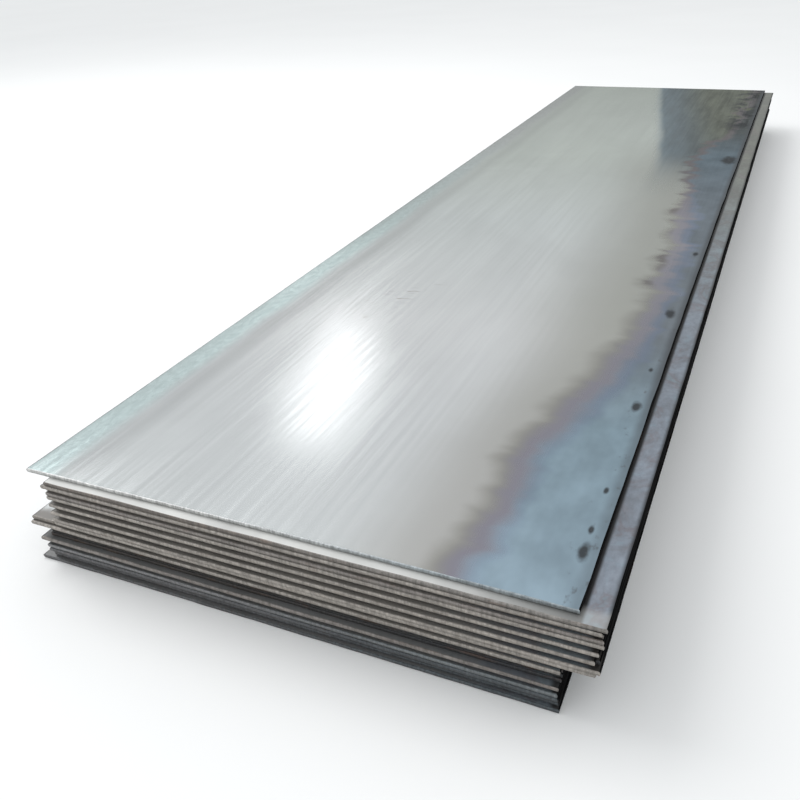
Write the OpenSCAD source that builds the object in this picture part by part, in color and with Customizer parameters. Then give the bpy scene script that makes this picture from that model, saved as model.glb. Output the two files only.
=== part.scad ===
// A stack of hot-rolled steel plates of one thickness, lying flat on the ground.
// X runs across the plates, Y along them (the rolling direction), Z up.
// The origin is the middle of the bottom plate's underside.

/* [Plate] */
// Length of a plate, along the rolling direction
plate_length = 6000; // [1000:10:12000]
// Full width of a plate
plate_width = 1500; // [600:5:3000]
// Thickness of a plate
plate_thickness = 12; // [4:0.5:40]
// How far the shear rolls a plate's upper edges over
edge_rollover = 1.5; // [0.2:0.1:3]
// How far a plate's lower edges are dulled
edge_dulling = 0.6; // [0.2:0.1:3]

/* [Stack] */
// Number of plates
plate_count = 25; // [1:1:50]
// How strongly the plates are fanned out: 0 lays them square, 1 as they lie
fan = 1; // [0:0.05:2]

/* [Colour] */
// Colour of a clean plate
steel_colour = "#b9bcbb";
// Colour of a plate that has lain in the lower, darker part of the stack
dull_steel_colour = "#6f7375";

/* [Hidden] */
// How each plate lies, from the top of the stack down: [shift to the right, shift away
// from the near end, how much narrower than full width it was cut]. Both shifts are of
// the plate's middle, against the bottom plate.
LAY = [
    [25, 20, 0],
    [94, -2, 14],
    [83, -3, 12],
    [86, 6, 14],
    [88, 0, 13],
    [89, -1, 12],
    [87, 12, 18],
    [85, -2, 21],
    [83, 11, 26],
    [82, -4, 28],
    [86, 13, 20],
    [88, -5, 14],
    [84, -3, 24],
    [-1, 7, 0],
    [-2, 0, 2],
    [24, 18, 50],
    [24, 16, 50],
    [23, 12, 50],
    [8, -3, 24],
    [12, 10, 35],
    [14, -1, 39],
    [17, -2, 44],
    [17, 7, 44],
    [16, 9, 42],
    [0, 0, 0],
];
// Share of the stack, from the ground, that is drawn in the darker colour
dull_share = 10 / 25;
// The cuts that form an edge never take more than a quarter of the thickness each
rollover = min(edge_rollover, plate_thickness / 4);
dulling = min(edge_dulling, plate_thickness / 4);

// Name of the plate that lies in place i, counted from 1 at the ground
function plate_name(i) = str("plate_", i < 10 ? "0" : "", i);
// Row of LAY for place i: a taller stack starts the same pattern again
function lay(i) = LAY[(plate_count - i) % len(LAY)];

// Cross-section of a plate of the given width, standing on its lower face
module plate_section(width) {
    half = width / 2;
    polygon([
        [-half + dulling, 0],
        [half - dulling, 0],
        [half, dulling],
        [half, plate_thickness - rollover],
        [half - rollover, plate_thickness],
        [-half + rollover, plate_thickness],
        [-half, plate_thickness - rollover],
        [-half, dulling],
    ]);
}

// One plate, its underside at Z = 0: the profile along each axis, where both hold
module plain_plate(width) {
    intersection() {
        rotate([90, 0, 0])
            linear_extrude(plate_length, center = true)
                plate_section(width);
        rotate([90, 0, 90])
            linear_extrude(width, center = true)
                plate_section(plate_length);
    }
}

// The plate in place i of the stack
module plate(i) {
    row = lay(i);
    color(i <= plate_count * dull_share ? dull_steel_colour : steel_colour)
        translate([row[0] * fan, row[1] * fan, (i - 1) * plate_thickness])
            plain_plate(plate_width - row[2]);
}

for (i = [1:plate_count])
    plate(i);
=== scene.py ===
"""A stack of hot-rolled steel plates, fanned a little to one side, on a pale studio floor.

Every plate is its own piece. It fills the box of the plate in the frame, with sheared ends, rolled
edges and mill finish of its own.
"""

import math

import bmesh
import bpy
from bpy.props import FloatProperty, FloatVectorProperty, PointerProperty
from mathutils import Matrix, Vector, noise


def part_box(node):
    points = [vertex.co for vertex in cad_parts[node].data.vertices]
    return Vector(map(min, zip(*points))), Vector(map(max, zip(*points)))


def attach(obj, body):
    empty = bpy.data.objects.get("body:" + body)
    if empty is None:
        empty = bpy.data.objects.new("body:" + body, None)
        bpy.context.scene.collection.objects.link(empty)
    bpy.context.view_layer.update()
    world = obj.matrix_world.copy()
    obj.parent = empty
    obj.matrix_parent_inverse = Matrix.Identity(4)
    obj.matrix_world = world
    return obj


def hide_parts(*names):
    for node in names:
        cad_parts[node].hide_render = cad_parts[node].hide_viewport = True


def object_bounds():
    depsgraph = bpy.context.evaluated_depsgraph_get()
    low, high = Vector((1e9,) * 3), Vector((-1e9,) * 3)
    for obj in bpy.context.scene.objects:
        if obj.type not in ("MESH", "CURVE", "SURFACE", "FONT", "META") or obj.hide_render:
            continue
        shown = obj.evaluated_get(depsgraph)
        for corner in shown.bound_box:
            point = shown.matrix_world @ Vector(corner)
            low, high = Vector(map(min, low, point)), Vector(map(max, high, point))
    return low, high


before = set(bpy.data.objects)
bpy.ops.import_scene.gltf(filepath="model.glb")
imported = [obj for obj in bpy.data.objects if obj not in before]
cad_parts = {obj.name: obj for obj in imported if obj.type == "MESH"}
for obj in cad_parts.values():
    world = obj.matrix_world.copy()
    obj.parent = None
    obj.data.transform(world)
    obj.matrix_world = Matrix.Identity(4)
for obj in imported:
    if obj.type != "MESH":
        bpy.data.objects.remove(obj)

bl_info = {
    "name": "Steel Plate Stack",
    "version": (1, 0, 0),
    "blender": (4, 5, 0),
    "location": "View3D > Sidebar > Plates",
    "description": "Builds a fanned stack of hot-rolled steel plates and the studio round it",
    "category": "Object",
}

CAD_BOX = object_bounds()
PLATES = sorted(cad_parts)
TOP = PLATES[-1]
SECOND = PLATES[-2]


def number_of(node):
    """A plate's number, counted from the ground up."""
    return int(node[-2:])


# The plates under the top two, split where the dull ones end.
DULL_COUNT = 10
CLEAN = [node for node in PLATES[:-2] if number_of(node) > DULL_COUNT]
DULL = [node for node in PLATES[:-2] if number_of(node) <= DULL_COUNT]

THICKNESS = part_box(TOP)[1].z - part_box(TOP)[0].z
TOP_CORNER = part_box(TOP)[0]
TOP_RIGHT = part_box(TOP)[1].x
SECOND_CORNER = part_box(SECOND)[0]
PLATE_LENGTH = round(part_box(TOP)[1].y - TOP_CORNER.y, 4)

# Which sheared finish each plate's ends have, from the ground up.
END_FINISHES = [
    "slate", "slate", "dark", "slate", "pale_slate",
    "black", "worn", "dark", "dark", "dark",
    "light", "shade", "light", "light", "dark",
    "light", "shade", "light", "shade", "light",
    "worn", "dull", "light", "brown", "bright",
]


# ---------------------------------------------------------------- settings


def colour(name, description, default):
    """A colour setting."""
    return FloatVectorProperty(
        name=name, description=description, default=default, subtype="COLOR", min=0.0, max=1.0
    )


def length(name, description, default, highest):
    """A length setting, in metres."""
    return FloatProperty(
        name=name, description=description, default=default, min=0.0, max=highest, unit="LENGTH"
    )


def share(name, description, default, highest=1.0):
    """A plain number setting."""
    return FloatProperty(name=name, description=description, default=default, min=0.0, max=highest)


class PlateShape(bpy.types.PropertyGroup):
    """Sizes of a plate's sheared and rolled edges."""

    rollover: length("Rollover", "Height of the rounded top edge a shear leaves", 0.0017, 0.005)
    lean: length("Fracture lean", "How far the torn half of an end leans in", 0.0012, 0.005)
    dulling: length("Underside dulling", "Rounding of the bottom edge", 0.0007, 0.003)
    wander: length("Edge wander", "How far a cut edge wanders from a straight line", 0.0014, 0.01)
    ease: length("Edge ease", "How far the plate thins away towards its edges", 0.0012, 0.004)
    camber: length("Camber", "How far the top plate's right edge bows in at mid length", 0.007, 0.02)
    hollow: length("Hollow", "How far the top plate's near end bows in", 0.004, 0.02)
    ripple: length("Ripple", "Depth of the shallow waves in the top plate", 0.0010, 0.005)


class PlateColours(bpy.types.PropertyGroup):
    """Colours of the mill finish and of the cut ends."""

    silver: colour("Silver", "The clean rolled surface", (0.60, 0.62, 0.62))
    pale_cyan: colour("Pale cyan", "The cool band along the left edge", (0.58, 0.68, 0.68))
    straw: colour("Straw", "The warm band before the heat tint", (0.37, 0.37, 0.33))
    violet: colour("Violet", "The thin line where the heat tint starts", (0.27, 0.26, 0.30))
    heat_blue: colour("Heat blue", "The blue tint along the right edge", (0.26, 0.35, 0.41))
    scale_dark: colour("Dark scale", "Blots and the edge strip of mill scale", (0.12, 0.13, 0.14))
    rust: colour("Rust", "Thin rust in the cut ends", (0.16, 0.075, 0.035))
    # Painted shade: the black of the right-hand sides, which face away from the light. It paints the
    # right long edges, a strip of each lower plate's face next to them, and a shadow beside the top
    # plate's edge.
    painted_shade: colour("Oxide", "The black oxide of the right edges", (0.013, 0.013, 0.0135))
    edge: colour("Worn edge", "The brown-grey of the left edges", (0.088, 0.080, 0.073))


class StudioSettings(bpy.types.PropertyGroup):
    """Light and floor of the studio."""

    floor: colour("Floor", "The pale floor", (0.93, 0.93, 0.925))
    horizon: colour("Horizon", "Light from low down", (0.375, 0.40, 0.38))
    sky: colour("Overhead", "Light from above", (0.98, 1.0, 1.02))
    window: share("Window", "Strength of the window that glares in the top plate", 7.5, 2000.0)
    softbox: share("Soft box", "Strength of the large soft light", 330.0, 2000.0)


# ---------------------------------------------------------------- finishes


# A small lift, in plate thicknesses, that keeps each underside on its own plate.
ABOVE_JOINT = 1e-4


class Finish:
    """A node material that is being put together."""

    def __init__(self, name):
        self.material = bpy.data.materials.new(name)
        self.material.use_nodes = True
        self.tree = self.material.node_tree
        self.shader = self.tree.nodes["Principled BSDF"]
        self.place = self.node("ShaderNodeTexCoord").outputs["Object"]
        parts = self.node("ShaderNodeSeparateXYZ", {"Vector": self.place}).outputs
        self.x, self.y, self.z = parts

    def node(self, kind, inputs=None, **settings):
        """Adds a node, with its settings and with values or links for its inputs."""
        made = self.tree.nodes.new(kind)
        for key, value in settings.items():
            setattr(made, key, value)
        for key, value in (inputs or {}).items():
            self.plug(made.inputs[key], value)
        return made

    def plug(self, socket, value):
        """Links a socket, or sets its number or colour."""
        if isinstance(value, bpy.types.NodeSocket):
            self.tree.links.new(value, socket)
        elif socket.type == "RGBA" and len(value) == 3:
            socket.default_value = (*value, 1.0)
        else:
            socket.default_value = value

    def maths(self, operation, a, b=0.0):
        """One sum."""
        return self.node("ShaderNodeMath", {0: a, 1: b}, operation=operation).outputs[0]

    def larger(self, a, b):
        """The larger of two values."""
        return self.maths("MAXIMUM", a, b)

    def add(self, a, b):
        """Two values added."""
        return self.maths("ADD", a, b)

    def less(self, a, b):
        """The second value taken from the first."""
        return self.maths("SUBTRACT", a, b)

    def times(self, a, b):
        """Two values multiplied."""
        return self.maths("MULTIPLY", a, b)

    def fade(self, value, start, end, low=0.0, high=1.0):
        """Goes smoothly from low to high as value goes from start to end."""
        made = self.node(
            "ShaderNodeMapRange",
            {"Value": value, "From Min": start, "From Max": end, "To Min": low, "To Max": high},
            interpolation_type="SMOOTHSTEP",
        )
        return made.outputs["Result"]

    def line(self, value, middle, width):
        """1 on a line, falling to 0 at width to either side."""
        away = self.maths("ABSOLUTE", self.less(value, middle))
        return self.fade(away, 0.0, width, 1.0, 0.0)

    def stretched(self, scale, shift=(0.0, 0.0, 0.0)):
        """The place on the plate, scaled along each axis."""
        made = self.node(
            "ShaderNodeVectorMath",
            {0: self.place, 1: scale, 2: shift},
            operation="MULTIPLY_ADD",
        )
        return made.outputs["Vector"]

    def noise(self, scale, detail=3.0, roughness=0.55, shift=(0.0, 0.0, 0.0), distortion=0.0):
        """Noise from 0 to 1 with its own grain along each axis."""
        made = self.node(
            "ShaderNodeTexNoise",
            {
                "Vector": self.stretched(scale, shift),
                "Scale": 1.0,
                "Detail": detail,
                "Roughness": roughness,
                "Distortion": distortion,
            },
        )
        return made.outputs["Fac"]

    def ramp(self, factor, stops):
        """A colour ramp: stops are places from 0 to 1, each with its colour."""
        made = self.node("ShaderNodeValToRGB", {"Fac": factor})
        points = made.color_ramp.elements
        while len(points) < len(stops):
            points.new(0.5)
        for point, (place, tone) in zip(points, stops):
            point.position = place
            point.color = (*tone, 1.0)
        return made.outputs["Color"]

    def curve(self, value, points):
        """A smooth curve through points, each from 0 to 1 both ways."""
        made = self.node("ShaderNodeFloatCurve", {"Value": value})
        path = made.mapping.curves[0]
        path.points[0].location = points[0]
        path.points[-1].location = points[-1]
        for place in points[1:-1]:
            path.points.new(*place)
        made.mapping.update()
        return made.outputs["Value"]

    def mix(self, factor, a, b, how="MIX"):
        """Two colours mixed."""
        made = self.node("ShaderNodeMix", data_type="RGBA", blend_type=how)
        self.plug(made.inputs["Factor"], factor)
        self.plug(made.inputs[6], a)
        self.plug(made.inputs[7], b)
        return made.outputs[2]

    def tone(self, base, factor, dark, light):
        """A colour made darker or lighter by a factor from 0 to 1."""
        level = self.fade(factor, 0.25, 0.75, dark, light)
        grey = self.node("ShaderNodeCombineColor", {0: level, 1: level, 2: level}).outputs[0]
        return self.mix(1.0, base, grey, "MULTIPLY")

    def level_in_plate(self):
        """Height inside a plate of the stack: 0 at its underside, 1 at its top face."""
        return self.maths("FRACT", self.add(self.times(self.z, 1.0 / THICKNESS), ABOVE_JOINT))

    def bump(self, height, strength, distance):
        """Fine relief."""
        made = self.node(
            "ShaderNodeBump", {"Height": height, "Strength": strength, "Distance": distance}
        )
        self.plug(self.shader.inputs["Normal"], made.outputs["Normal"])

    def finish(self, base, roughness, metallic):
        """Plugs in the colour and the gloss."""
        self.plug(self.shader.inputs["Base Color"], base)
        self.plug(self.shader.inputs["Roughness"], roughness)
        self.plug(self.shader.inputs["Metallic"], metallic)
        return self.material


def scaled(tone, factor):
    """A colour times a factor."""
    return tuple(c * factor for c in tone)


def tinted(tone, red, green, blue):
    """A colour with each part times a factor of its own."""
    return (tone[0] * red, tone[1] * green, tone[2] * blue)


# Blots of scale near the top plate's right edge: place across, place along, and size, in metres.
BLOTS = [
    (1.464, 0.18, 0.014), (1.461, 0.26, 0.007), (1.462, 0.42, 0.007), (1.455, 0.84, 0.014),
    (1.457, 1.08, 0.008), (1.450, 1.52, 0.018), (1.455, 2.15, 0.012), (1.442, 3.74, 0.045),
]


# Where the heat tint starts and where the painted dark reflection has its left side: each point is a
# share of the plate's length and a height on the curve.
TINT_START = [
    (0.0, 0.54), (0.1, 0.56), (0.19, 0.78), (0.27, 0.83), (0.42, 0.78), (0.5, 0.72),
    (0.60, 0.60), (0.67, 0.66), (0.76, 0.84), (1.0, 0.92),
]
REFLECTION_LEFT = [(0.0, 1.0), (0.56, 1.0), (0.667, 0.86), (0.78, 0.66), (0.89, 0.43), (1.0, 0.25)]


def along_plate(f, v, stops):
    """A colour that changes along the plate: stops are distances from the near end, in metres."""
    places = [(place / PLATE_LENGTH, tone) for place, tone in stops]
    return f.ramp(f.times(v, 1.0 / PLATE_LENGTH), places)


def across_along_plate(f, v, points, width, start):
    """A distance across, in metres, that changes along the plate: width times a curve, and start."""
    path = f.curve(f.times(v, 1.0 / PLATE_LENGTH), points)
    return f.add(f.times(path, width), start)


def rolled_top(colours):
    """The top plate's rolled surface: silver, with straw, violet and blue heat tint at its right."""
    f = Finish("Rolled_top")
    u = f.less(f.x, TOP_CORNER.x)
    v = f.less(f.y, TOP_CORNER.y)
    silver = tuple(colours.silver)
    cyan = tuple(colours.pale_cyan)
    straw = tuple(colours.straw)
    violet = tuple(colours.violet)
    blue = tuple(colours.heat_blue)
    dark = tuple(colours.scale_dark)
    streak = f.noise((55.0, 1.1, 0.0), 4.0, 0.6)
    broad = f.noise((6.0, 0.5, 0.0), 2.0, 0.5, (4.0, 1.0, 0.0))
    cloud = f.noise((2.2, 1.3, 0.0), 3.0, 0.55, (9.0, 2.0, 0.0), 0.6)

    # Clean metal, cooler at mid length and a little greener far away. It is lightest about 1.2 m
    # from the
    # near end and darker far away: a painted reflection of bright sky near and darker surroundings
    # far off.
    base = along_plate(
        f,
        v,
        [
            (0.0, scaled(silver, 0.98)),
            (0.5, tinted(silver, 1.06, 1.05, 1.06)),
            (1.2, tinted(silver, 1.20, 1.17, 1.18)),
            (2.4, tinted(silver, 1.09, 1.10, 1.10)),
            (3.6, tinted(silver, 1.00, 1.03, 0.97)),
            (4.6, tinted(silver, 0.94, 0.97, 0.91)),
            (6.0, tinted(silver, 0.78, 0.82, 0.75)),
        ],
    )
    base = f.tone(base, f.add(f.times(streak, 0.5), f.times(broad, 0.5)), 0.955, 1.045)
    base = f.tone(base, cloud, 0.95, 1.04)

    # Cool band along the left edge, with a soft grey line at its inner side.
    wander = f.times(f.less(f.noise((0.0, 1.6, 0.0), 3.0, 0.6, (0.0, 7.0, 0.0)), 0.5), 0.06)
    left = f.add(u, wander)
    # Like the clean metal, the band is lightest about 1.4 m from the near end and darker far away:
    # painted reflection.
    band = along_plate(
        f,
        v,
        [
            (0.0, scaled(cyan, 0.95)),
            (0.5, cyan),
            (1.4, scaled(cyan, 1.22)),
            (2.2, scaled(cyan, 0.96)),
            (4.0, scaled(silver, 0.84)),
            (6.0, scaled(silver, 0.64)),
        ],
    )
    band = f.tone(band, f.noise((48.0, 26.0, 0.0), 4.0, 0.65, (3.0, 3.0, 0.0), 0.6), 0.88, 1.08)
    base = f.mix(f.fade(left, 0.125, 0.06), base, band)
    base = f.mix(f.times(f.line(left, 0.140, 0.075), 0.26), base, scaled(silver, 0.45))
    patches = f.fade(f.noise((0.0, 0.9, 0.0), 2.0), 0.4, 0.6, 0.05, 0.35)
    dull = f.times(f.fade(u, 0.05, 0.0), patches)
    base = f.mix(dull, base, tinted(silver, 0.50, 0.48, 0.48))

    # The heat tint starts on a scalloped line that wanders along the plate.
    start = across_along_plate(f, v, TINT_START, 0.5, 0.96)
    scallop = f.less(f.noise((1.2, 2.7, 0.0), 3.0, 0.6, (3.0, 5.0, 0.0), 0.3), 0.5)
    finger = f.less(f.noise((4.0, 9.0, 0.0), 2.0, 0.55, (1.0, 2.0, 0.0), 0.5), 0.5)
    near_line = f.add(f.less(u, start), f.times(scallop, 0.05))
    reach = f.fade(v, 1.2, 2.2, 0.08, 0.17)
    tint = f.add(f.less(u, start), f.add(f.times(scallop, 0.13), f.times(finger, reach)))
    pace = f.noise((0.5, 1.7, 0.0), 2.0, 0.5, (8.0, 8.0, 0.0))
    tint = f.times(tint, f.fade(pace, 0.3, 0.7, 0.65, 1.35))
    tint = f.times(tint, f.fade(v, 0.8, 2.2, 0.62, 1.15))
    # The tint darkens far away: painted reflection of darker surroundings, as on the clean metal.
    deep = along_plate(
        f,
        v,
        [
            (0.0, tinted(blue, 1.05, 1.02, 1.02)),
            (0.7, scaled(blue, 0.88)),
            (1.3, tinted(blue, 0.68, 0.58, 0.56)),
            (3.0, tinted(blue, 0.46, 0.41, 0.40)),
            (3.8, tinted(blue, 0.38, 0.37, 0.37)),
            (4.5, tinted(blue, 0.26, 0.22, 0.19)),
            (6.0, tinted(blue, 0.13, 0.10, 0.08)),
        ],
    )
    patch = f.noise((8.0, 5.0, 0.0), 3.0, 0.6, (2.0, 8.0, 0.0))
    deep = f.tone(deep, patch, 0.86, 1.16)
    rise = f.fade(near_line, f.fade(v, 0.7, 1.6, -0.36, -0.55), -0.06, 0.0, 0.85)
    rise = f.times(rise, f.fade(v, 3.3, 4.4, 1.0, 0.3))
    base = f.mix(rise, base, f.mix(f.fade(v, 0.2, 1.6), tinted(straw, 1.1, 1.08, 1.15), straw))
    base = f.mix(f.fade(tint, -0.07, -0.01, 0.0, 0.85), base, tinted(straw, 0.68, 0.66, 0.67))

    # A dark wedge far away at the right, streaked along the plate, is a painted reflection of dark
    # surroundings. An olive field lies beyond it.
    # Here and below, matt is how much of the metal's shine has gone.
    slant = f.noise((16.0, 2.6, 0.0), 3.0, 0.6)
    reflection_left = across_along_plate(f, v, REFLECTION_LEFT, 0.5, 0.56)
    inside = f.add(f.less(u, reflection_left), f.times(f.less(slant, 0.5), 0.05))
    painted_reflection = f.times(f.fade(inside, -0.03, 0.06), f.fade(v, 2.8, 3.9, 0.0, 0.92))
    reflection_tone = f.mix(f.fade(inside, 0.0, 0.25), scaled(blue, 0.34), scaled(blue, 0.22))
    base = f.mix(painted_reflection, base, f.tone(reflection_tone, slant, 0.78, 1.20))
    matt = f.times(painted_reflection, 0.9)
    olive = f.times(f.fade(inside, 0.12, 0.42), f.fade(v, 3.0, 4.6, 0.0, 0.9))
    base = f.mix(olive, base, f.tone(tinted(straw, 0.255, 0.275, 0.235), slant, 0.70, 1.30))

    # Violet, then blue.
    tips = f.times(f.line(tint, -0.014, 0.024), f.fade(finger, 0.04, 0.18))
    tips = f.times(tips, f.fade(v, 1.0, 1.8, 0.0, 0.8))
    fringe = f.mix(f.fade(v, 2.2, 3.6), scaled(violet, 0.9), tinted(violet, 0.42, 0.40, 0.36))
    base = f.mix(f.fade(tint, -0.035, 0.01), base, fringe)
    base = f.mix(tips, base, tinted(straw, 0.34, 0.30, 0.32))
    base = f.mix(f.fade(tint, 0.005, 0.06), base, deep)
    second_line = f.times(f.line(tint, 0.045, 0.03), f.fade(v, 0.5, 1.0, 0.25, 0.5))
    second_line = f.times(second_line, f.fade(v, 2.4, 3.4, 1.0, 0.0))
    base = f.mix(second_line, base, tinted(blue, 0.62, 0.58, 0.72))

    tinted_matt = f.times(f.fade(tint, -0.06, 0.0), f.fade(v, 1.0, 4.2, 0.12, 0.95))
    matt = f.larger(matt, tinted_matt)

    # Light crackle and dark mottling at the far right.
    mottle = f.noise((9.0, 5.5, 0.0), 4.0, 0.65, (7.0, 1.0, 0.0), 0.8)
    corner = f.times(f.fade(u, 1.27, 1.38), f.fade(v, 4.2, 4.8))
    mottled = f.times(corner, f.fade(mottle, 0.44, 0.60, 0.0, 0.85))
    base = f.mix(mottled, base, scaled(dark, 0.22))
    matt = f.larger(matt, mottled)
    crackle = f.times(corner, f.fade(mottle, 0.42, 0.32, 0.0, 0.5))
    base = f.mix(crackle, base, tinted(straw, 0.42, 0.45, 0.34))

    # Dark blots and a thin strip of scale along the right edge.
    rough = f.times(f.less(f.noise((22.0, 14.0, 0.0), 3.0, 0.6, (6.0, 3.0, 0.0)), 0.5), 1.6)
    for across, along, size in BLOTS:
        away_u = f.times(f.less(u, across), 1.0 / size)
        away_v = f.times(f.less(v, along), 0.45 / size)
        spread = f.maths("SQRT", f.add(f.times(away_u, away_u), f.times(away_v, away_v)))
        blot = f.fade(f.add(spread, rough), 1.30, 0.40, 0.0, 0.95)
        base = f.mix(blot, base, scaled(dark, 0.28))
        matt = f.larger(matt, blot)
    speck = f.noise((30.0, 16.0, 0.0), 3.0, 0.6, (6.0, 9.0, 0.0))
    base = f.mix(f.times(f.fade(u, 1.41, 1.47), f.fade(speck, 0.60, 0.70, 0.0, 0.6)), base, dark)
    rim = f.fade(f.add(u, f.times(rough, 0.004)), 1.462, 1.490)
    rim = f.times(rim, f.fade(v, 0.2, 1.3, 0.35, 0.85))
    base = f.mix(rim, base, scaled(dark, 0.6))
    matt = f.larger(matt, f.times(rim, 0.7))

    # Small scratches, rusty at the heart.
    scratch = f.noise((9.0, 60.0, 0.0), 2.0, 0.5, (5.0, 1.0, 0.0), 1.2)
    place = f.times(f.line(v, 1.3, 0.35), f.line(u, 0.5, 0.25))
    mark = f.times(place, f.fade(scratch, 0.66, 0.72, 0.0, 0.5))
    base = f.mix(mark, base, tuple(colours.rust))

    gloss = f.fade(streak, 0.3, 0.7, 0.14, 0.25)
    gloss = f.add(gloss, f.fade(tint, 0.0, 0.1, 0.0, 0.12))
    gloss = f.add(gloss, f.times(matt, 0.40))
    grain = f.noise((160.0, 3.0, 0.0), 2.0)
    f.bump(f.add(f.times(streak, 0.6), f.times(grain, 0.4)), 0.2, 0.0006)
    f.plug(f.shader.inputs["Specular IOR Level"], 0.12)
    return f.finish(base, gloss, f.fade(matt, 0.0, 1.0, 0.88, 0.0))


class Skin:
    """What sets a group of the lower plates apart: brightness, where the painted shade of the right
    side starts, and the ledge colour.
    """

    def __init__(self, name, brightness, painted_shade_from, ledge_wear_and_shade):
        self.name = name
        self.brightness = brightness
        self.painted_shade_from = painted_shade_from
        self.ledge_wear_and_shade = ledge_wear_and_shade


# The painted shade of the right side starts so many metres across the plate. The ledge is the colour
# close to the cut end: pale wear on the second plate, painted shade between the plates below.
SECOND_SKIN = Skin("Rolled_second", 0.8, 1.486, (0.66, 0.66, 0.64))
CLEAN_SKIN = Skin("Rolled_clean", 0.8, 1.462, (0.19, 0.172, 0.156))
DULL_SKIN = Skin("Rolled_dull", 0.5, 1.385, (0.16, 0.16, 0.16))


def rolled_skin(kind, colours, camber=None):
    """The rolled surface of a plate below the top one. A camber is the bow of the edge over it, and
    with one a shadow is painted beside that edge.
    """
    f = Finish(kind.name)
    u = f.less(f.x, SECOND_CORNER.x)
    v = f.less(f.y, SECOND_CORNER.y)
    rim = kind.painted_shade_from
    silver = scaled(tuple(colours.silver), kind.brightness)
    blue = tuple(colours.heat_blue)
    violet = tuple(colours.violet)
    streak = f.noise((50.0, 1.2, 0.0), 4.0, 0.6, (2.0, 0.0, 0.0))
    band = f.noise((7.0, 5.5, 0.0), 4.0, 0.62, (1.0, 4.0, 0.0), 0.9)
    shade = f.noise((5.0, 3.2, 0.0), 4.0, 0.6, (5.0, 6.0, 0.0))
    base = f.tone(silver, streak, 0.94, 1.05)
    near_tint = f.ramp(
        band,
        [
            (0.30, scaled(blue, 0.95)),
            (0.42, tinted(blue, 0.95, 0.80, 0.80)),
            (0.50, tinted(violet, 0.80, 0.92, 0.92)),
            (0.56, tinted(violet, 0.74, 0.76, 0.74)),
            (0.63, tinted(blue, 0.80, 0.72, 0.70)),
            (0.76, tinted(blue, 0.86, 0.76, 0.72)),
        ],
    )
    far_tint = f.ramp(
        band,
        [
            (0.35, (0.22, 0.225, 0.195)),
            (0.52, (0.18, 0.185, 0.165)),
            (0.70, (0.20, 0.185, 0.175)),
        ],
    )
    margin = f.mix(f.fade(v, 1.2, 4.0), near_tint, far_tint)
    base = f.mix(f.fade(u, 1.05, 1.30), base, margin)
    base = f.tone(base, shade, 0.80, 1.14)
    base = f.tone(base, f.noise((70.0, 40.0, 0.0), 3.0, 0.65, (2.0, 2.0, 0.0)), 0.88, 1.10)
    # Beyond that line the face is painted black, the shade of the right-hand side.
    base = f.mix(f.fade(u, rim - 0.015, rim), base, tuple(colours.painted_shade))

    # A shadow is painted along the edge of the plate above, following its bow.
    if camber is not None:
        bow = f.maths("SINE", f.times(v, math.pi / PLATE_LENGTH))
        lip = f.less(TOP_RIGHT - SECOND_CORNER.x, f.times(bow, camber))
        painted_shadow = f.fade(u, f.add(lip, 0.013), f.add(lip, 0.004))
        base = f.mix(painted_shadow, base, tuple(colours.painted_shade))

    # Close to the cut end the surface goes matt, in the ledge colour. On the second plate the shear
    # has rubbed it pale. On the plates below, the dark ledge colour paints the shade in the lines
    # between plates.
    rubbed_and_shaded = f.fade(f.add(v, f.times(f.less(band, 0.5), 0.02)), 0.06, 0.03)
    rubbed_and_shaded = f.times(rubbed_and_shaded, f.fade(u, rim - 0.03, rim - 0.45, 0.3, 0.9))
    base = f.mix(rubbed_and_shaded, base, f.tone(kind.ledge_wear_and_shade, shade, 0.85, 1.1))
    f.bump(streak, 0.2, 0.0006)
    return f.finish(base, f.fade(shade, 0.3, 0.7, 0.36, 0.5), f.fade(rubbed_and_shaded, 0.0, 1.0, 0.6, 0.15))


def cut_end(name, rust, tone, rust_share, right_tone):
    """A sheared end: a burnished upper band, a torn lower half and fine upright drag marks.

    Where there is a right tone, the end goes over to it from left to right.
    """
    f = Finish(name)
    level = f.level_in_plate()
    drag = f.noise((150.0, 150.0, 20.0), 3.0, 0.65)
    grain = f.noise((90.0, 90.0, 260.0), 3.0, 0.6, (3.0, 1.0, 2.0))
    stain = f.noise((7.0, 7.0, 60.0), 3.0, 0.6, (1.0, 2.0, 3.0))
    base = tone
    if right_tone:
        base = f.mix(f.fade(f.x, -0.3, 0.6), tone, right_tone)
    base = f.tone(base, drag, 0.62, 1.34)
    base = f.tone(base, grain, 0.88, 1.1)
    torn = f.fade(f.add(level, f.times(f.less(grain, 0.5), 0.4)), 0.62, 0.42)
    base = f.mix(f.times(torn, 0.35), base, scaled(tone, 0.62))
    base = f.tone(base, stain, 0.78, 1.12)
    rusty = f.fade(f.noise((16.0, 16.0, 90.0), 3.0, 0.65, (8.0, 2.0, 5.0)), 0.52, 0.70)
    base = f.mix(f.times(rusty, rust_share), base, rust)
    f.bump(f.add(drag, f.times(grain, 0.7)), 0.35, 0.0008)
    return f.finish(base, f.fade(torn, 0.0, 1.0, 0.42, 0.66), 0.25)


# The dark line where two plates meet.
SEAM = (0.002, 0.002, 0.002)


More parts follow.
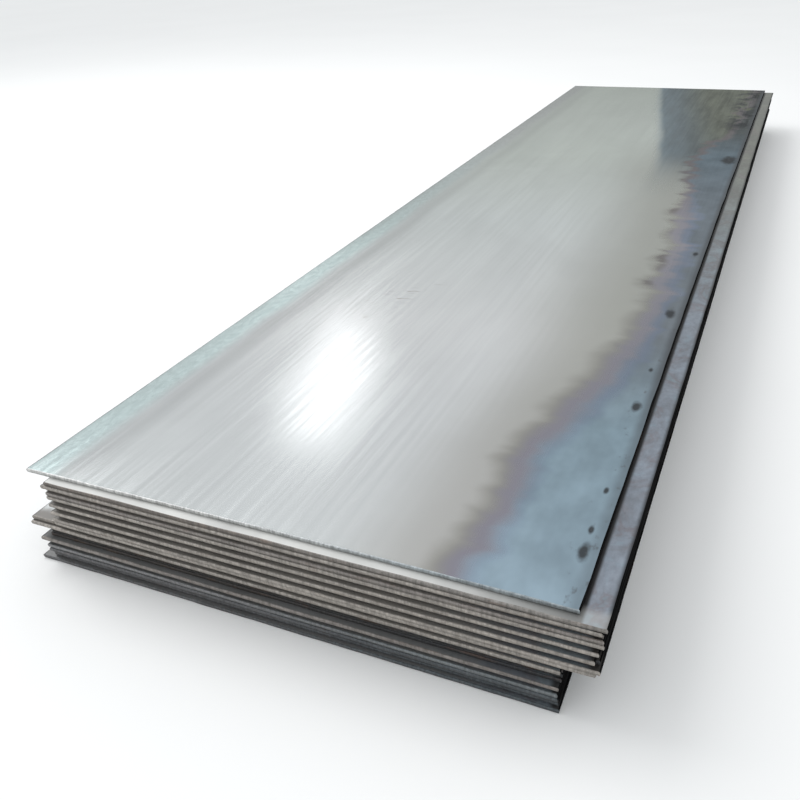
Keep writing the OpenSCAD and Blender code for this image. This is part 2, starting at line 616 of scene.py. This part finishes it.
def mill_edge(colours):
    """A long edge: black painted shade on the right, worn brown-grey steel on the left, with a
    little rust.
    """
    f = Finish("Mill_edge")
    patch = f.noise((12.0, 5.0, 70.0), 4.0, 0.6)
    drag = f.noise((30.0, 9.0, 500.0), 3.0, 0.6, (1.0, 1.0, 0.0))
    # The right-hand edges are painted black, the shade of the side away from the light; their rust
    # is painted darker too.
    right = f.fade(f.x, -0.1, 0.1)
    base = f.mix(right, tuple(colours.edge), tuple(colours.painted_shade))
    base = f.tone(base, drag, 0.5, 1.7)
    level = f.level_in_plate()
    seam = f.line(f.maths("ABSOLUTE", f.less(level, 0.5)), 0.5, 0.22)
    base = f.mix(f.times(seam, 0.8), base, SEAM)
    rusty = f.fade(patch, 0.55, 0.75, 0.0, 0.4)
    rust = tuple(colours.rust)
    base = f.mix(rusty, base, f.mix(right, scaled(rust, 0.8), scaled(rust, 0.18)))
    f.bump(f.add(drag, patch), 0.3, 0.001)
    f.plug(f.shader.inputs["Specular IOR Level"], 0.0)
    return f.finish(base, f.fade(patch, 0.3, 0.7, 0.6, 0.8), 0.0)


# The sheared finishes: colour, share of rust, and the colour at the right where that differs.
CUT_ENDS = {
    "bright": ((0.60, 0.60, 0.59), 0.03, (0.33, 0.37, 0.39)),
    "light": ((0.348, 0.320, 0.290), 0.16, None),
    "worn": ((0.25, 0.228, 0.212), 0.18, None),
    "dull": ((0.20, 0.18, 0.165), 0.2, None),
    "brown": ((0.150, 0.130, 0.115), 0.25, (0.24, 0.225, 0.21)),
    "shade": ((0.268, 0.246, 0.222), 0.24, None),
    "dark": ((0.055, 0.049, 0.045), 0.3, (0.050, 0.052, 0.056)),
    "black": ((0.024, 0.022, 0.021), 0.25, None),
    "slate": ((0.12, 0.12, 0.125), 0.12, (0.085, 0.098, 0.108)),
    "pale_slate": ((0.22, 0.22, 0.225), 0.08, (0.19, 0.21, 0.22)),
}


# ---------------------------------------------------------------- plates


# How far in from the edges the flat middle of a plate starts, and how far inside the rounded edge
# a ring of points holds the flat face level.
LAND = 0.07
SUPPORT = 0.004

# How finely an edge is divided, across and along: the top plate, and the plates below it.
FINE_STEPS = (150, 240)
PLAIN_STEPS = (130, 120)

# A plate's section is a stack of rings, from the flat middle of its top face over the edge to the
# flat middle of its underside. The bands between them are counted from the top.
RINGS = 11
SMOOTH_BANDS = (0, 2, 3, 4)
SKIN_BANDS = (0, 1, 9)

# The waves along an edge: each has a step for its seed, and a pace in waves to the metre.
ROLL_WAVE = (0, 7.0)
EASE_WAVE = (30, 1.7)
LIFT_WAVE = (60, 2.3)
LEAN_WAVE = (90, 11.0)
SLOW_WANDER = (120, 1.1)
QUICK_WANDER = (150, 23.0)


def wave(along, number, kind):
    """A smooth wave from 0 to 1 along an edge, different for each plate and kind of wave."""
    step, pace = kind
    height = noise.noise(Vector((along * pace, (number + step) * 3.7, 0.5)))
    return 0.5 + 0.5 * max(-1.0, min(1.0, 1.6 * height))


def outline(low, high, across, along):
    """Points round a plate seen from above, near left corner first, each with the side it is on."""
    width = high.x - low.x
    depth = high.y - low.y
    points = []
    for i in range(across):
        points.append((low.x + width * i / across, low.y, "near"))
    for i in range(along):
        points.append((high.x, low.y + depth * i / along, "right"))
    for i in range(across):
        points.append((high.x - width * i / across, high.y, "far"))
    for i in range(along):
        points.append((low.x, high.y - depth * i / along, "left"))
    return points


def build_plate(node, skin, end, edge, shape, fine=False):
    """One plate with rolled-over, burnished, torn and dulled edges, inside the plate's own box."""
    low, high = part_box(node)
    number = number_of(node)
    middle = (low + high) / 2
    half_x = (high.x - low.x) / 2
    half_y = (high.y - low.y) / 2
    thick = high.z - low.z
    across, along = FINE_STEPS if fine else PLAIN_STEPS
    ring_points = outline(low, high, across, along)

    def inward(x, y, inset):
        """A point drawn in from the edges by inset."""
        return (
            middle.x + (x - middle.x) * (1 - inset / half_x),
            middle.y + (y - middle.y) * (1 - inset / half_y),
        )

    def dip(x, y):
        """How far the surface lies below its highest level."""
        if not fine:
            return 0.0
        slow = noise.noise(Vector((x * 1.3, y * 0.8, 2.0)))
        quick = noise.noise(Vector((x * 3.1, y * 1.7, 5.0)))
        return shape.ripple * (0.5 + 0.35 * slow + 0.12 * quick)

    def profile(x, y, side):
        """The section at one point of the edge: insets and heights from the top face down."""
        place = x + 2.0 * y if side in ("near", "far") else y - 3.0 * x
        roll = shape.rollover * (0.6 + 0.9 * wave(place, number, ROLL_WAVE))
        ease = shape.ease * wave(place, number, EASE_WAVE) * (0.2 if fine else 1.0)
        lift = shape.ease * wave(place, number, LIFT_WAVE)
        lean = shape.lean * (0.4 + 0.9 * wave(place, number, LEAN_WAVE))
        stray = shape.wander * 0.6 * wave(place, number, SLOW_WANDER)
        stray += shape.wander * 0.4 * wave(place, number, QUICK_WANDER)
        if fine and side == "right":
            stray += shape.camber * math.sin(math.pi * (y - low.y) / (2 * half_y))
        if fine and side == "near":
            stray += shape.hollow * math.sin(math.pi * (x - low.x) / (2 * half_x))
        top = high.z - ease - dip(x, y)
        foot = low.z + lift
        return [
            (stray + roll * 1.7 + SUPPORT, top + roll * 0.01),
            (stray + roll * 1.7, top),
            (stray + roll * 0.6, top - roll * 0.14),
            (stray + roll * 0.16, top - roll * 0.5),
            (stray, top - roll),
            (stray, high.z - 0.48 * thick),
            (stray + lean * 0.55, low.z + 0.3 * thick),
            (stray + lean, foot + shape.dulling),
            (stray + lean + shape.dulling, foot),
        ]

    mesh = bmesh.new()
    rings = [[] for _ in range(RINGS)]
    for x, y, side in ring_points:
        rings[0].append(mesh.verts.new((*inward(x, y, LAND), high.z - dip(x, y))))
        for ring, (inset, height) in zip(rings[1:-1], profile(x, y, side)):
            ring.append(mesh.verts.new((*inward(x, y, inset), height)))
        rings[-1].append(mesh.verts.new((*inward(x, y, LAND), low.z)))

    count = len(ring_points)
    for band, (upper, lower) in enumerate(zip(rings, rings[1:])):
        for i in range(count):
            j = (i + 1) % count
            face = mesh.faces.new((upper[i], lower[i], lower[j], upper[j]))
            face.smooth = band in SMOOTH_BANDS
            if band in SKIN_BANDS:
                face.material_index = 0
            else:
                face.material_index = 1 if ring_points[i][2] in ("near", "far") else 2
    mesh.faces.new(list(reversed(rings[-1])))
    if fine:
        fill_grid(mesh, rings[0], across, along, inward, dip, low, high)
    else:
        mesh.faces.new(rings[0])
    mesh.normal_update()
    data = bpy.data.meshes.new("Steel_" + node)
    mesh.to_mesh(data)
    mesh.free()
    for material in (skin, end, edge):
        data.materials.append(material)
    piece = bpy.data.objects.new("Steel_" + node, data)
    bpy.context.scene.collection.objects.link(piece)
    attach(piece, "root")
    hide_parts(node)
    return piece


def fill_grid(mesh, ring, across, along, inward, dip, low, high):
    """Fills the top face inside its first ring with a grid that carries the shallow waves."""
    grid = [[None] * (along + 1) for _ in range(across + 1)]
    for i in range(across + 1):
        grid[i][0] = ring[i]
        grid[i][along] = ring[across + along + (across - i)]
    for j in range(along + 1):
        grid[across][j] = ring[across + j]
        grid[0][j] = ring[(2 * across + along + (along - j)) % len(ring)]
    for i in range(1, across):
        for j in range(1, along):
            x = low.x + (high.x - low.x) * i / across
            y = low.y + (high.y - low.y) * j / along
            grid[i][j] = mesh.verts.new((*inward(x, y, LAND), high.z - dip(x, y)))
    for i in range(across):
        for j in range(along):
            face = mesh.faces.new((grid[i][j], grid[i + 1][j], grid[i + 1][j + 1], grid[i][j + 1]))
            face.smooth = True
            face.material_index = 0


# ---------------------------------------------------------------- studio

# The floor is wide enough to run out of sight, and lies a little below the stack's underside.
FLOOR_RADIUS = 120.0
FLOOR_DROP = 0.0005

# Where the light from low down ends and the light from above starts, as shares of straight up.
HORIZON_END = 0.06
OVERHEAD_START = 0.66

# The long window hangs over the far left and shines straight down, turned from the plate's length.
WINDOW_PLACE = (-3.02, 2.40, 3.194)
WINDOW_TARGET = (-3.02, 2.40, 0.0)
WINDOW_SIZE = (0.60, 2.2)
WINDOW_TURN = math.radians(10.0)

# The soft box hangs high on the left and faces the middle of the stack.
SOFT_BOX_PLACE = (-6.0, -1.0, 7.0)
SOFT_BOX_TARGET = (0.0, 0.0, 0.0)
SOFT_BOX_SIZE = (6.0, 6.0)

# The camera's place in metres, and how it is turned: left of straight ahead, down, and rolled.
CAMERA_PLACE = Vector((1.0012, -4.1935, 1.4951))
CAMERA_HEADING = math.radians(24.465)
CAMERA_FALL = math.radians(30.677)
CAMERA_ROLL = math.radians(2.789)
SENSOR_WIDTH = 36.0
LENS = 36.633
LENS_SHIFT = (-0.0291, 0.0147)
CAMERA_REACH = 400.0


def floor_finish(settings):
    """A pale, matt studio floor."""
    f = Finish("Studio_floor")
    cloud = f.noise((0.6, 0.6, 0.6), 2.0, 0.5)
    base = f.tone(tuple(settings.floor), cloud, 0.985, 1.0)
    f.plug(f.shader.inputs["Specular IOR Level"], 0.2)
    return f.finish(base, 0.9, 0.0)


def add_floor(settings):
    """A wide round floor at the foot of the stack."""
    mesh = bmesh.new()
    bmesh.ops.create_circle(mesh, cap_ends=True, segments=96, radius=FLOOR_RADIUS)
    data = bpy.data.meshes.new("Studio_floor")
    mesh.to_mesh(data)
    mesh.free()
    data.materials.append(floor_finish(settings))
    floor = bpy.data.objects.new("Studio_floor", data)
    floor.location.z = CAD_BOX[0].z - FLOOR_DROP
    bpy.context.scene.collection.objects.link(floor)


def add_world(settings):
    """Soft light from all round, weaker from low down."""
    world = bpy.data.worlds.new("Studio_light")
    bpy.context.scene.world = world
    world.use_nodes = True
    tree = world.node_tree
    background = tree.nodes["Background"]
    coords = tree.nodes.new("ShaderNodeTexCoord")
    parts = tree.nodes.new("ShaderNodeSeparateXYZ")
    ramp = tree.nodes.new("ShaderNodeValToRGB")
    tree.links.new(coords.outputs["Generated"], parts.inputs[0])
    tree.links.new(parts.outputs["Z"], ramp.inputs["Fac"])
    tree.links.new(ramp.outputs["Color"], background.inputs["Color"])
    low, high = ramp.color_ramp.elements
    low.position = HORIZON_END
    low.color = (*settings.horizon, 1.0)
    high.position = OVERHEAD_START
    high.color = (*settings.sky, 1.0)


def add_soft_light(name, place, target, size, power, turn=0.0):
    """A rectangular soft light aimed at a point."""
    lamp = bpy.data.lights.new(name, "AREA")
    lamp.shape = "RECTANGLE"
    lamp.size, lamp.size_y = size
    lamp.energy = power
    light = bpy.data.objects.new(name, lamp)
    aim = (Vector(target) - Vector(place)).to_track_quat("-Z", "Y").to_matrix().to_4x4()
    light.matrix_world = Matrix.Translation(place) @ aim @ Matrix.Rotation(turn, 4, "Z")
    light.visible_camera = False
    bpy.context.scene.collection.objects.link(light)


def add_camera():
    """The camera, over the near right corner of the stack."""
    flat = math.cos(CAMERA_FALL)
    ahead = Vector(
        (
            -math.sin(CAMERA_HEADING) * flat,
            math.cos(CAMERA_HEADING) * flat,
            -math.sin(CAMERA_FALL),
        )
    )
    level = Vector((math.cos(CAMERA_HEADING), math.sin(CAMERA_HEADING), 0.0))
    down = ahead.cross(level)
    right = math.cos(CAMERA_ROLL) * level + math.sin(CAMERA_ROLL) * down
    up = math.sin(CAMERA_ROLL) * level - math.cos(CAMERA_ROLL) * down
    turn = Matrix((right, up, -ahead)).transposed()
    data = bpy.data.cameras.new("Camera")
    data.sensor_width = SENSOR_WIDTH
    data.lens = LENS
    data.shift_x, data.shift_y = LENS_SHIFT
    data.clip_end = CAMERA_REACH
    camera = bpy.data.objects.new("Camera", data)
    camera.matrix_world = Matrix.Translation(CAMERA_PLACE) @ turn.to_4x4()
    bpy.context.scene.collection.objects.link(camera)
    bpy.context.scene.camera = camera


# ---------------------------------------------------------------- operators


def end_of(node, colours):
    """The sheared finish of one plate, made when it is first needed."""
    key = END_FINISHES[number_of(node) - 1]
    name = "Cut_end_" + key
    made = bpy.data.materials.get(name)
    return made or cut_end(name, tuple(colours.rust), *CUT_ENDS[key])


def long_edge(colours):
    """The finish of the long edges, made when it is first needed."""
    return bpy.data.materials.get("Mill_edge") or mill_edge(colours)


def make_plates(context, nodes, skin, fine=False):
    """Builds the pieces for some plates."""
    if not nodes:
        raise RuntimeError("there is no plate to build here")
    colours = context.scene.plate_colours
    edge = long_edge(colours)
    for node in nodes:
        build_plate(node, skin, end_of(node, colours), edge, context.scene.plate_shape, fine)


class PLATES_OT_stage(bpy.types.Operator):
    """Sets out the floor, the lights and the camera"""

    bl_idname = "plates.stage"
    bl_label = "Studio"

    def execute(self, context):
        settings = context.scene.plate_studio
        context.scene.view_settings.view_transform = "Standard"
        add_camera()
        add_floor(settings)
        add_world(settings)
        add_soft_light(
            "Window_light", WINDOW_PLACE, WINDOW_TARGET, WINDOW_SIZE, settings.window, WINDOW_TURN
        )
        add_soft_light("Soft_box", SOFT_BOX_PLACE, SOFT_BOX_TARGET, SOFT_BOX_SIZE, settings.softbox)
        return {"FINISHED"}


class PLATES_OT_top(bpy.types.Operator):
    """Builds the top plate, with its waves, camber and heat tint"""

    bl_idname = "plates.top"
    bl_label = "Top plate"

    def execute(self, context):
        skin = rolled_top(context.scene.plate_colours)
        make_plates(context, [TOP], skin, True)
        return {"FINISHED"}


class PLATES_OT_second(bpy.types.Operator):
    """Builds the plate under the top one, whose margin shows"""

    bl_idname = "plates.second"
    bl_label = "Second plate"

    def execute(self, context):
        camber = context.scene.plate_shape.camber
        skin = rolled_skin(SECOND_SKIN, context.scene.plate_colours, camber)
        make_plates(context, [SECOND], skin)
        return {"FINISHED"}


class PLATES_OT_clean(bpy.types.Operator):
    """Builds the clean plates of the upper part of the stack"""

    bl_idname = "plates.clean"
    bl_label = "Clean plates"

    def execute(self, context):
        skin = rolled_skin(CLEAN_SKIN, context.scene.plate_colours)
        make_plates(context, CLEAN, skin)
        return {"FINISHED"}


class PLATES_OT_dull(bpy.types.Operator):
    """Builds the dull plates at the foot of the stack"""

    bl_idname = "plates.dull"
    bl_label = "Dull plates"

    def execute(self, context):
        skin = rolled_skin(DULL_SKIN, context.scene.plate_colours)
        make_plates(context, DULL, skin)
        return {"FINISHED"}


class VIEW3D_PT_plates(bpy.types.Panel):
    """Lists the steps in the sidebar"""

    bl_label = "Plate stack"
    bl_idname = "VIEW3D_PT_plates"
    bl_space_type = "VIEW_3D"
    bl_region_type = "UI"
    bl_category = "Plates"

    def draw(self, context):
        for step in STEPS:
            self.layout.operator(step.bl_idname)
        scene = context.scene
        for group in (scene.plate_shape, scene.plate_colours, scene.plate_studio):
            for key in group.__annotations__:
                self.layout.prop(group, key)


STEPS = (PLATES_OT_stage, PLATES_OT_top, PLATES_OT_second, PLATES_OT_clean, PLATES_OT_dull)
GROUPS = (PlateShape, PlateColours, StudioSettings)


def register():
    """Registers the settings, the steps and the panel."""
    for kind in (*GROUPS, *STEPS, VIEW3D_PT_plates):
        bpy.utils.register_class(kind)
    bpy.types.Scene.plate_shape = PointerProperty(type=PlateShape)
    bpy.types.Scene.plate_colours = PointerProperty(type=PlateColours)
    bpy.types.Scene.plate_studio = PointerProperty(type=StudioSettings)


def unregister():
    """Takes away what register added."""
    del bpy.types.Scene.plate_studio
    del bpy.types.Scene.plate_colours
    del bpy.types.Scene.plate_shape
    for kind in reversed((*GROUPS, *STEPS, VIEW3D_PT_plates)):
        bpy.utils.unregister_class(kind)


def main():
    """Builds everything in order."""
    register()
    bpy.ops.plates.stage()
    bpy.ops.plates.top()
    bpy.ops.plates.second()
    bpy.ops.plates.clean()
    bpy.ops.plates.dull()


if __name__ == "__main__":
    main()
